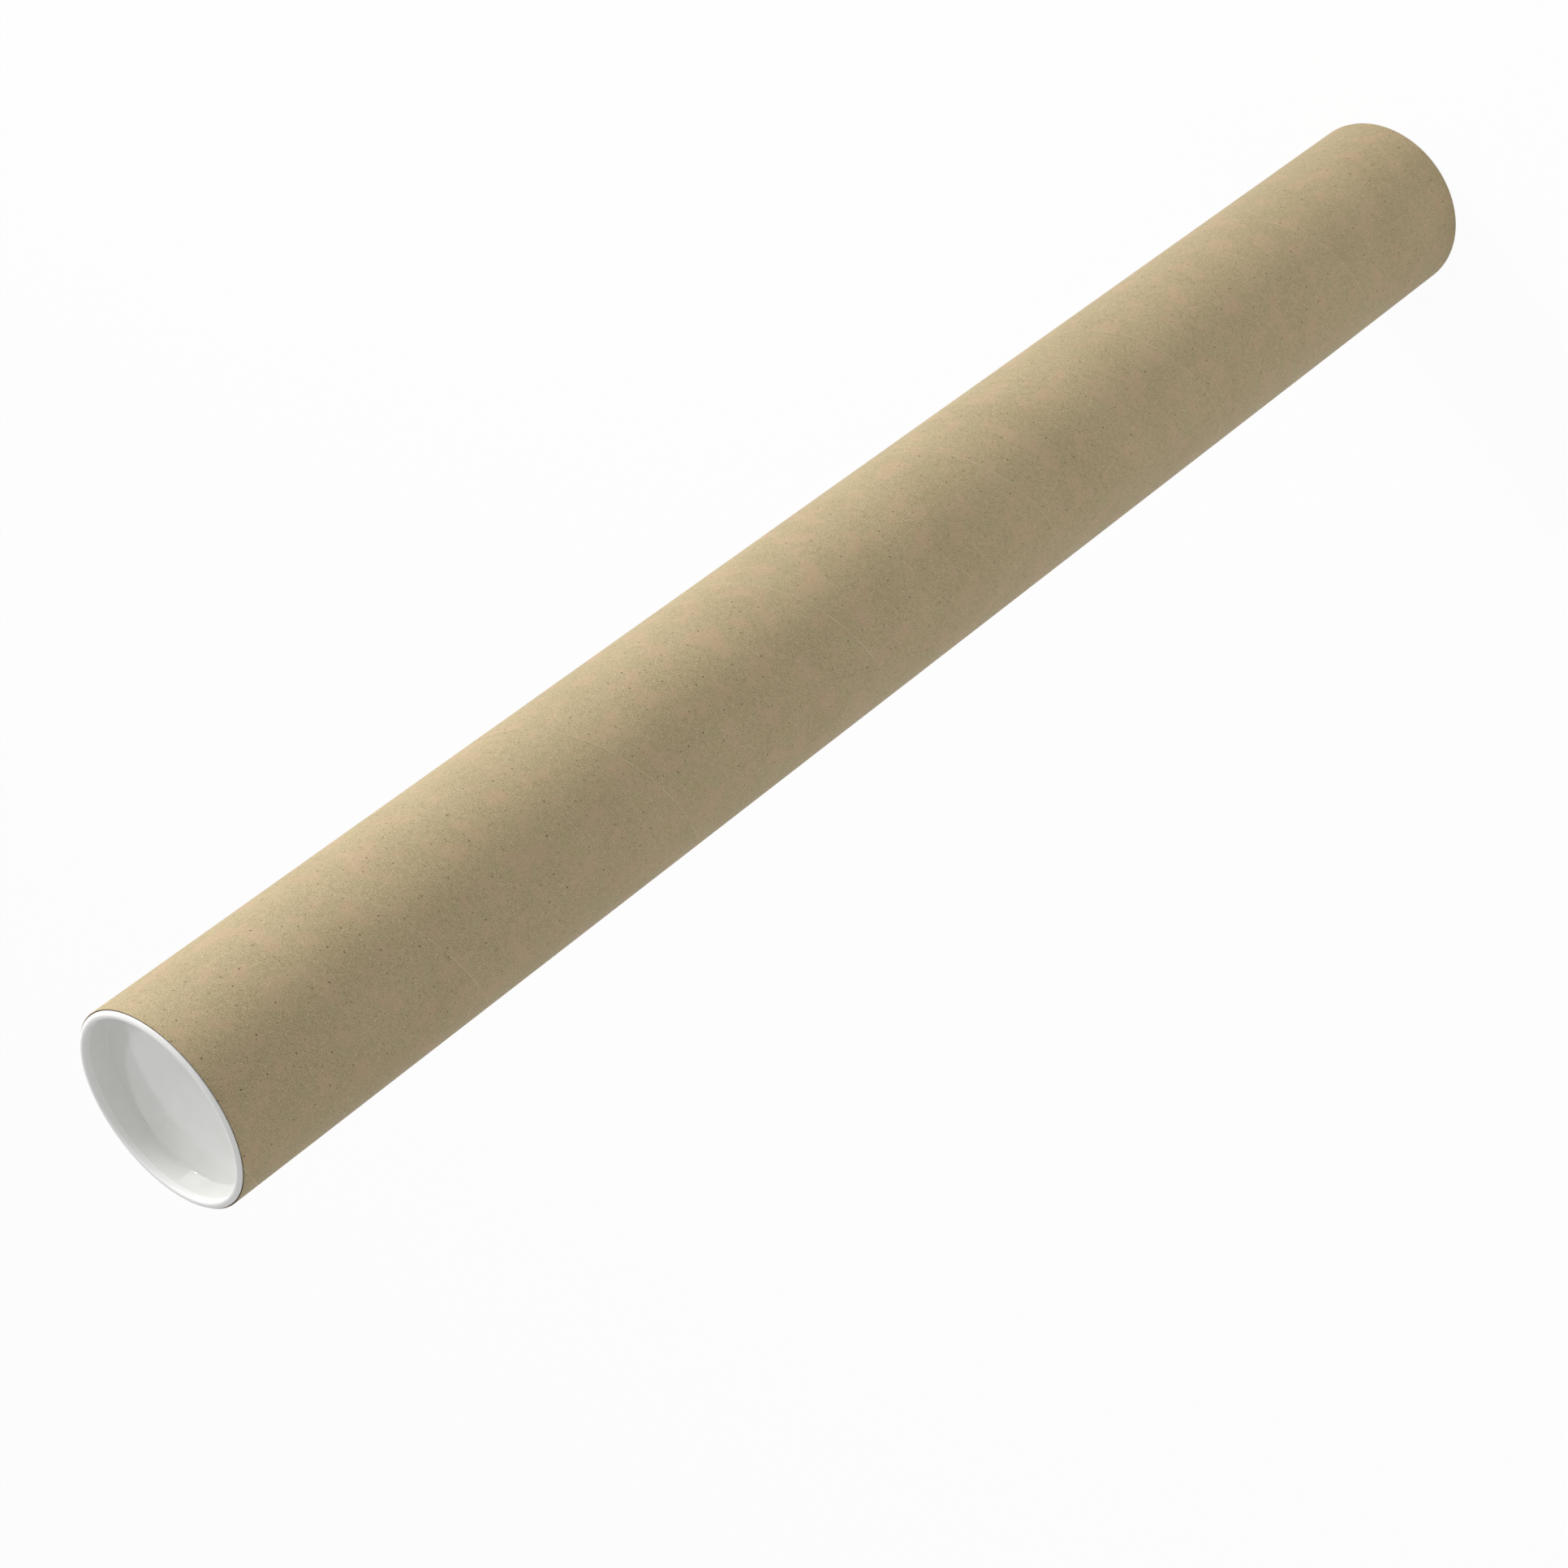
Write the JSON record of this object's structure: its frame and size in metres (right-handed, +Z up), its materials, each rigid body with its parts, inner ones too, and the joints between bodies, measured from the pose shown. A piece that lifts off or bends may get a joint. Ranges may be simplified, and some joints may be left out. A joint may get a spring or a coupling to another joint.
{
  "type": "cardboard mailing tube",
  "caption": "Long straight wound cardboard tube that carries rolled papers, closed at both ends by white recessed push-in plugs that pull out.",
  "frame": {"origin": "centre of the lower plug's flange face, which the tube stands on", "axes": "+Z up along the tube's axis, from the lower plug to the upper plug"},
  "size_m": [0.0802, 0.0802, 0.7525],
  "materials": {
    "kraft_board": "matte unbleached paper with a fine spiral seam",
    "white_plastic": "satin moulded polyethylene"
  },
  "bodies": {
    "lower_plug": {"lower_plug": "white_plastic"},
    "tube": {"tube": "kraft_board"},
    "upper_plug": {"upper_plug": "white_plastic"}
  },
  "joints": [
    {"name": "tube_lift", "type": "slide", "parent": "lower_plug", "child": "tube", "axis": [0, 0, 1], "range_m": [0, 0.04]},
    {"name": "upper_plug_pull", "type": "slide", "parent": "tube", "child": "upper_plug", "axis": [0, 0, 1], "range_m": [0, 0.04]}
  ]
}
